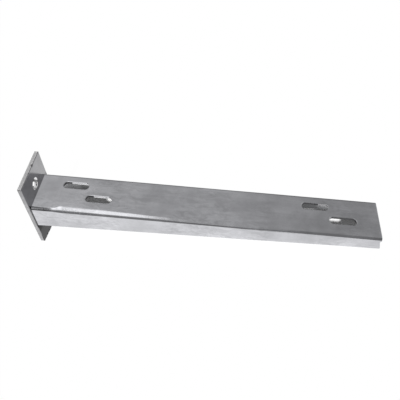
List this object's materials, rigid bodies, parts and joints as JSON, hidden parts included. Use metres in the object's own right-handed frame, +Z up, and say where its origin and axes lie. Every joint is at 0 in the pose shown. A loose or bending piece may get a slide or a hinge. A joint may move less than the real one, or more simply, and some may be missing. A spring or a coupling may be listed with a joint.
{
  "type": "cantilever strut arm",
  "caption": "Cantilever arm: a slotted channel folded from galvanised sheet, tapering to its tip, welded to an upright head plate with bolt holes.",
  "frame": {"origin": "centre of the head plate's back face, midway between its two bolt holes", "axes": "+X out along the arm towards its tip, +Z up"},
  "size_m": [0.305, 0.0448, 0.076],
  "materials": {
    "arm_zinc": "galvanised sheet, soft sheen",
    "plate_zinc": "galvanised plate, soft sheen",
    "weld_zinc": "galvanised weld bead, rippled"
  },
  "bodies": {
    "root": {"arm_channel": "arm_zinc", "head_plate": "plate_zinc", "root_weld": "weld_zinc"}
  },
  "joints": []
}
